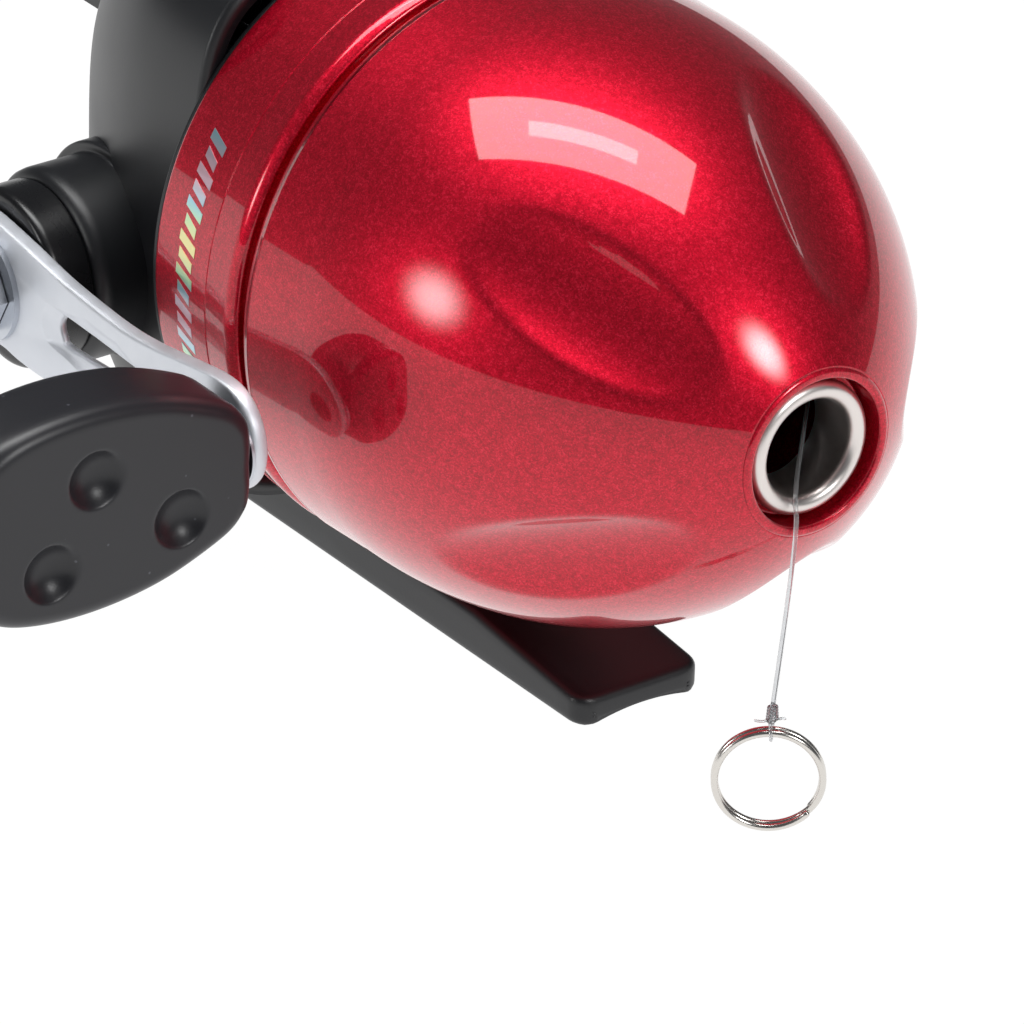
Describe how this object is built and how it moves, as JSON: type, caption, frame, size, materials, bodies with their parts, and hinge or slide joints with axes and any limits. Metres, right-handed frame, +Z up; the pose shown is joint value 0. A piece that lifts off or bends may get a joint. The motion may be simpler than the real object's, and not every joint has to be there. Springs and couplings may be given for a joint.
{
  "type": "spincast reel",
  "caption": "Closed-face spincast fishing reel with dimpled cover, crank with paddle knob, thumb button, rod foot, and a line ending in a split ring.",
  "frame": {"origin": "middle of the foot's seat, where it rests on the rod", "axes": "+X forwards out of the nose along the spool axis, +Y to the reel's left, +Z up from the rod; the crank is on -Y"},
  "size_m": [0.1138, 0.1022, 0.0709],
  "materials": {
    "candy_red": "clear-coated metallic",
    "polished_steel": "polished",
    "spring_steel": "bright wire",
    "zinc_screws": "zinc plated",
    "satin_black_abs": "fine spark texture",
    "black_button": "satin",
    "cast_zinc": "bright tumbled casting",
    "machined_steel": "turned",
    "brass": "machined",
    "spun_aluminium": "spun",
    "spool_plastic": "moulded",
    "clear_line": "clear nylon",
    "snubber_rubber": "moulded",
    "felt": "pressed felt",
    "grip_black": "soft satin"
  },
  "bodies": {
    "frame": {"body_ring": "candy_red", "return_spring": "spring_steel", "spool_clip": "spring_steel", "deck_screws": "zinc_screws", "foot_screws": "zinc_screws", "rear_housing": "satin_black_abs", "reel_foot": "satin_black_abs", "crank_sleeve": "satin_black_abs", "deck_plate": "cast_zinc", "dial_axle": "machined_steel", "one_way_bearing": "machined_steel", "pinion_bushing": "brass", "crank_bushing": "brass", "fishing_line": "clear_line", "line_knot": "clear_line", "drag_washer": "felt"},
    "cover": {"front_cover": "candy_red", "line_guide": "polished_steel", "guide_retainer": "spring_steel"},
    "crank": {"crank_shaft": "machined_steel", "drive_gear": "cast_zinc", "crank_clip": "spring_steel", "crank_arm": "cast_zinc", "handle_washer": "zinc_screws", "handle_nut": "zinc_screws", "knob_post": "zinc_screws", "knob_washer": "zinc_screws"},
    "knob": {"knob_paddle": "grip_black"},
    "pinion": {"pinion_gear": "brass"},
    "cup": {"centre_shaft": "machined_steel", "shaft_clip": "spring_steel", "winding_cup": "spun_aluminium", "cup_nut": "zinc_screws", "snubber_ring": "snubber_rubber", "pickup_guide": "spun_aluminium"},
    "pickup": {"pickup_pin": "machined_steel"},
    "spool": {"spool": "spool_plastic", "spool_line": "clear_line"},
    "button": {"thumb_button": "black_button"},
    "dial": {"drag_dial": "black_button"},
    "ring": {"split_ring": "spring_steel"}
  },
  "joints": [
    {"name": "cover_twist", "type": "hinge", "parent": "frame", "child": "cover", "pos_m": [0.006, 0, 0.0389], "axis": [1, 0, 0], "range_deg": [0, 25]},
    {"name": "crank_turn", "type": "hinge", "parent": "frame", "child": "crank", "pos_m": [-0.028, 0, 0.0316], "axis": [0, 1, 0], "continuous": true},
    {"name": "knob_spin", "type": "hinge", "parent": "crank", "child": "knob", "pos_m": [0.01407, -0.0373, 0.0321], "axis": [0, -1, 0], "continuous": true},
    {"name": "rotor_spin", "type": "hinge", "parent": "frame", "child": "pinion", "pos_m": [0.006, 0, 0.0389], "axis": [1, 0, 0], "continuous": true},
    {"name": "cup_slide", "type": "slide", "parent": "pinion", "child": "cup", "axis": [1, 0, 0], "range_m": [0, 0.005]},
    {"name": "pickup_retract", "type": "slide", "parent": "cup", "child": "pickup", "axis": [0, 0, -1], "range_m": [0, 0.0015]},
    {"name": "spool_drag", "type": "hinge", "parent": "frame", "child": "spool", "pos_m": [0.006, 0, 0.0389], "axis": [1, 0, 0], "continuous": true},
    {"name": "button_push", "type": "slide", "parent": "frame", "child": "button", "axis": [1, 0, 0], "range_m": [0, 0.005], "stiffness_N_per_m": 900, "springref_m": -0.002, "deforming": ["return_spring"]},
    {"name": "dial_turn", "type": "hinge", "parent": "frame", "child": "dial", "pos_m": [-0.016, 0, 0.0589], "axis": [1, 0, 0], "range_deg": [-150, 150]},
    {"name": "ring_swing", "type": "hinge", "parent": "frame", "child": "ring", "pos_m": [0.0565, -0.0044, 0.01125], "axis": [-0.6, -0.8, 0], "range_deg": [-60, 60]}
  ],
  "couplings": [
    {"joint": "rotor_spin", "follows": "crank_turn", "ratio": 3.5},
    {"joint": "cup_slide", "follows": "button_push", "ratio": 1},
    {"joint": "pickup_retract", "follows": "button_push", "ratio": 0.3}
  ]
}
